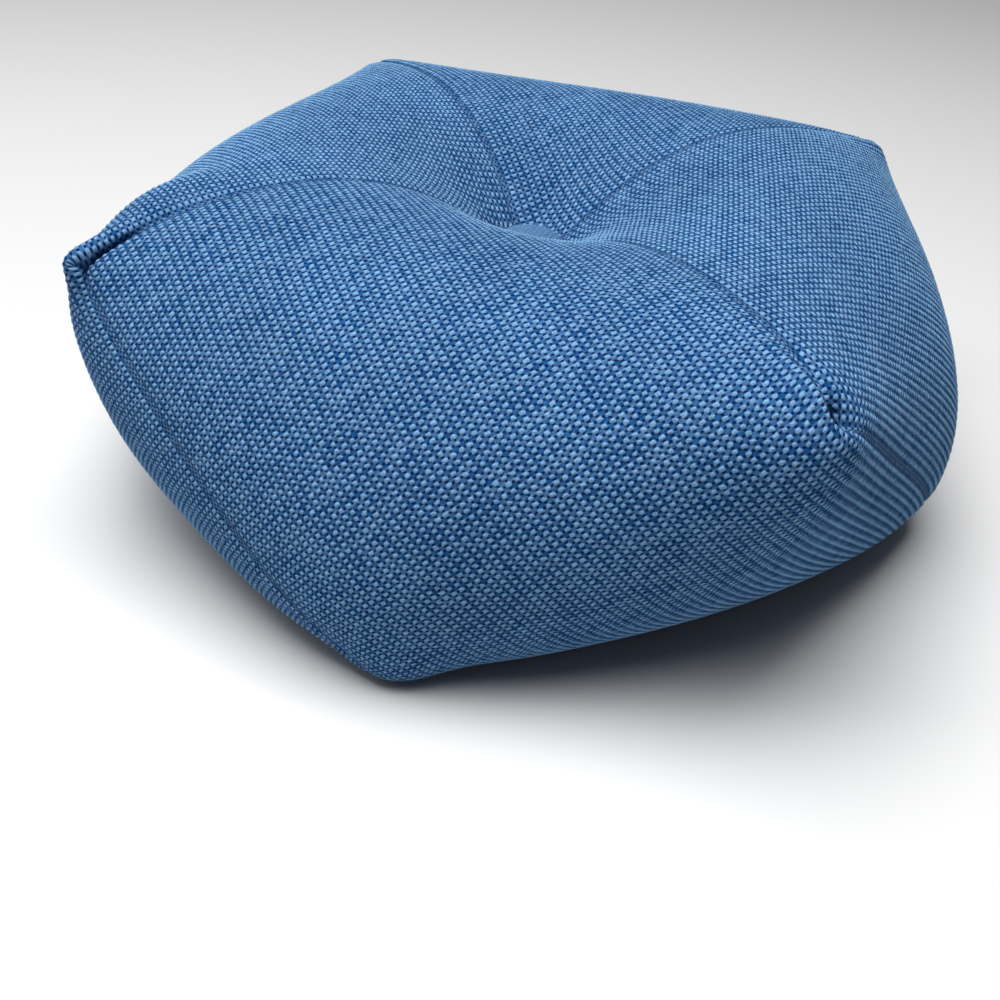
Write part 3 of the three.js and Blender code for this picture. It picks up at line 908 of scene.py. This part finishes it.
class POUF_OT_button(bpy.types.Operator):
    """Make the covered button"""

    bl_idname = "pouf.button"
    bl_label = "Build button"

    def execute(self, context):
        sizes = context.scene.pouf_button
        cover = context.scene.pouf_cover
        bead = (0.7 * cover.panel_width / cover.beads_across, 1.4 * cover.panel_width / cover.beads_along)
        count = 66
        line = np.linspace(-1, 1, count + 1)
        a, b = np.meshgrid(line, line, indexing="ij")
        disc_x = a * np.sqrt(1 - b * b / 2)
        disc_y = b * np.sqrt(1 - a * a / 2)
        away = np.sqrt(disc_x ** 2 + disc_y ** 2)
        crown = (sizes.dome - sizes.rim) * np.clip(1 - away ** 2.6, 0, 1)
        u, v = disc_x * sizes.radius / bead[0], disc_y * sizes.radius / bead[1]
        wave_u, wave_v = np.cos(2 * math.pi * u), np.cos(2 * math.pi * v)
        weave = bead_height(wave_u, wave_v) * cover.yarn_rise / 2
        keep = ease((1 - away) / 0.12)
        middle = BUTTON_MIDDLE[:2]
        foot = cover.tuft_height + SEWING_GAP
        places = np.stack([
            middle[0] + disc_x * sizes.radius, middle[1] + disc_y * sizes.radius,
            foot + sizes.rim + crown + weave * keep], axis=-1)
        # The button gets no painted seam shade
        mesh = grid_mesh("button_cover", places, np.stack([u, v], axis=-1) + 40, np.zeros_like(u))
        bm = bmesh.new()
        bm.from_mesh(mesh)
        rim = [edge for edge in bm.edges if edge.is_boundary]
        for share in (0.35, 0.75, 1.0):
            made = bmesh.ops.extrude_edge_only(bm, edges=rim)
            rim = [item for item in made["geom"] if isinstance(item, bmesh.types.BMEdge)]
            points = [item for item in made["geom"] if isinstance(item, bmesh.types.BMVert)]
            wide = sizes.foot + (sizes.radius - sizes.foot) * math.cos(share * math.pi / 2)
            for point in points:
                offset = Vector((point.co.x - middle[0], point.co.y - middle[1]))
                offset = offset.normalized() * wide
                point.co = (middle[0] + offset.x, middle[1] + offset.y,
                            foot + sizes.rim * (1 - math.sin(share * math.pi / 2)))
        bmesh.ops.contextual_create(bm, geom=rim)
        bmesh.ops.recalc_face_normals(bm, faces=bm.faces)
        for face in bm.faces:
            face.smooth = True
        bm.to_mesh(mesh)
        bm.free()
        colours = context.scene.pouf_colours
        light, dull, dark = tuple(colours.light_yarn), tuple(colours.middle_yarn), tuple(colours.dark_yarn_and_shade)
        mesh.materials.append(cloth_material(
            "button_cloth", between(light, dull, 0.25), between(dull, light, 0.45),
            between(dark, light, 0.3), colours.roughness, "Cloth"))
        finish_piece(bpy.data.objects.new("button_cover", mesh), "button")
        return {"FINISHED"}


class POUF_OT_stage(bpy.types.Operator):
    """Make the floor, the lights and the camera"""

    bl_idname = "pouf.stage"
    bl_label = "Build stage"

    def area_light(self, name, place, size, power):
        """A soft square light that faces the pouf."""
        data = bpy.data.lights.new(name, "AREA")
        data.shape = "SQUARE"
        data.size = size
        data.energy = power
        lamp = bpy.data.objects.new(name, data)
        lamp.location = place
        lamp.rotation_euler = (Vector((0, 0, 0.1)) - Vector(place)).to_track_quat("-Z", "Y").to_euler()
        bpy.context.scene.collection.objects.link(lamp)

    def execute(self, context):
        settings = context.scene.pouf_stage
        scene = context.scene
        bm = bmesh.new()
        bmesh.ops.create_grid(bm, x_segments=1, y_segments=1, size=6.0)
        mesh = bpy.data.meshes.new("floor")
        bm.to_mesh(mesh)
        bm.free()
        floor = bpy.data.objects.new("floor", mesh)
        material = bpy.data.materials.new("floor_paint")
        material.use_nodes = True
        shader = material.node_tree.nodes["Principled BSDF"]
        shader.inputs["Base Color"].default_value = (*settings.floor_colour, 1.0)
        shader.inputs["Roughness"].default_value = 0.9
        mesh.materials.append(material)
        scene.collection.objects.link(floor)

        world = bpy.data.worlds.new("studio")
        world.use_nodes = True
        world.node_tree.nodes["Background"].inputs["Color"].default_value = (1.0, 1.0, 1.0, 1.0)
        world.node_tree.nodes["Background"].inputs["Strength"].default_value = 0.08
        scene.world = world
        self.area_light("overhead", (-0.12, -0.45, 1.9), 1.5, 69)
        self.area_light("side", (-1.6, -0.6, 1.3), 1.0, 6)
        scene.view_settings.view_transform = "Standard"

        data = bpy.data.cameras.new("camera")
        data.sensor_width = 36.0
        data.lens = settings.camera_lens
        camera = bpy.data.objects.new("camera", data)
        azimuth = math.radians(settings.camera_azimuth)
        elevation = math.radians(settings.camera_elevation)
        roll = math.radians(settings.camera_roll)
        back = Vector((math.sin(azimuth) * math.cos(elevation),
                       -math.cos(azimuth) * math.cos(elevation), math.sin(elevation)))
        level = Vector((0, 0, 1)).cross(back).normalized()
        rise = back.cross(level)
        right = level * math.cos(roll) + rise * math.sin(roll)
        up = rise * math.cos(roll) - level * math.sin(roll)
        place = Matrix((right, up, back)).transposed().to_4x4()
        place.translation = Vector(settings.camera_aim) + back * settings.camera_distance
        camera.matrix_world = place
        scene.collection.objects.link(camera)
        scene.camera = camera
        return {"FINISHED"}


class POUF_PT_sidebar(bpy.types.Panel):
    """Sizes, colours and build buttons of the pouf"""

    bl_idname = "POUF_PT_sidebar"
    bl_label = "Square floor pouf"
    bl_space_type = "VIEW_3D"
    bl_region_type = "UI"
    bl_category = "Pouf"

    def draw(self, context):
        scene = context.scene
        for title, group, operator in (
                ("Cover", scene.pouf_cover, POUF_OT_cover), ("Cloth", scene.pouf_colours, None),
                ("Button", scene.pouf_button, POUF_OT_button), ("Stage", scene.pouf_stage, POUF_OT_stage)):
            box = self.layout.box()
            box.label(text=title)
            for key in group.__annotations__:
                box.prop(group, key)
            if operator:
                box.operator(operator.bl_idname)


CLASSES = (
    PoufCoverSizes, PoufCoverColours, PoufButtonSizes, PoufStageSettings,
    POUF_OT_cover, POUF_OT_button, POUF_OT_stage, POUF_PT_sidebar)
GROUPS = {
    "pouf_cover": PoufCoverSizes, "pouf_colours": PoufCoverColours,
    "pouf_button": PoufButtonSizes, "pouf_stage": PoufStageSettings}


def register():
    """Registers the classes and hangs their settings on the scene."""
    for item in CLASSES:
        bpy.utils.register_class(item)
    for name, group in GROUPS.items():
        setattr(bpy.types.Scene, name, bpy.props.PointerProperty(type=group))


def unregister():
    """Takes the settings and the classes away again."""
    for name in GROUPS:
        delattr(bpy.types.Scene, name)
    for item in reversed(CLASSES):
        bpy.utils.unregister_class(item)


def main():
    """Builds the stage and the pouf."""
    register()
    bpy.ops.pouf.stage()
    bpy.ops.pouf.cover()
    bpy.ops.pouf.button()


if __name__ == "__main__":
    main()
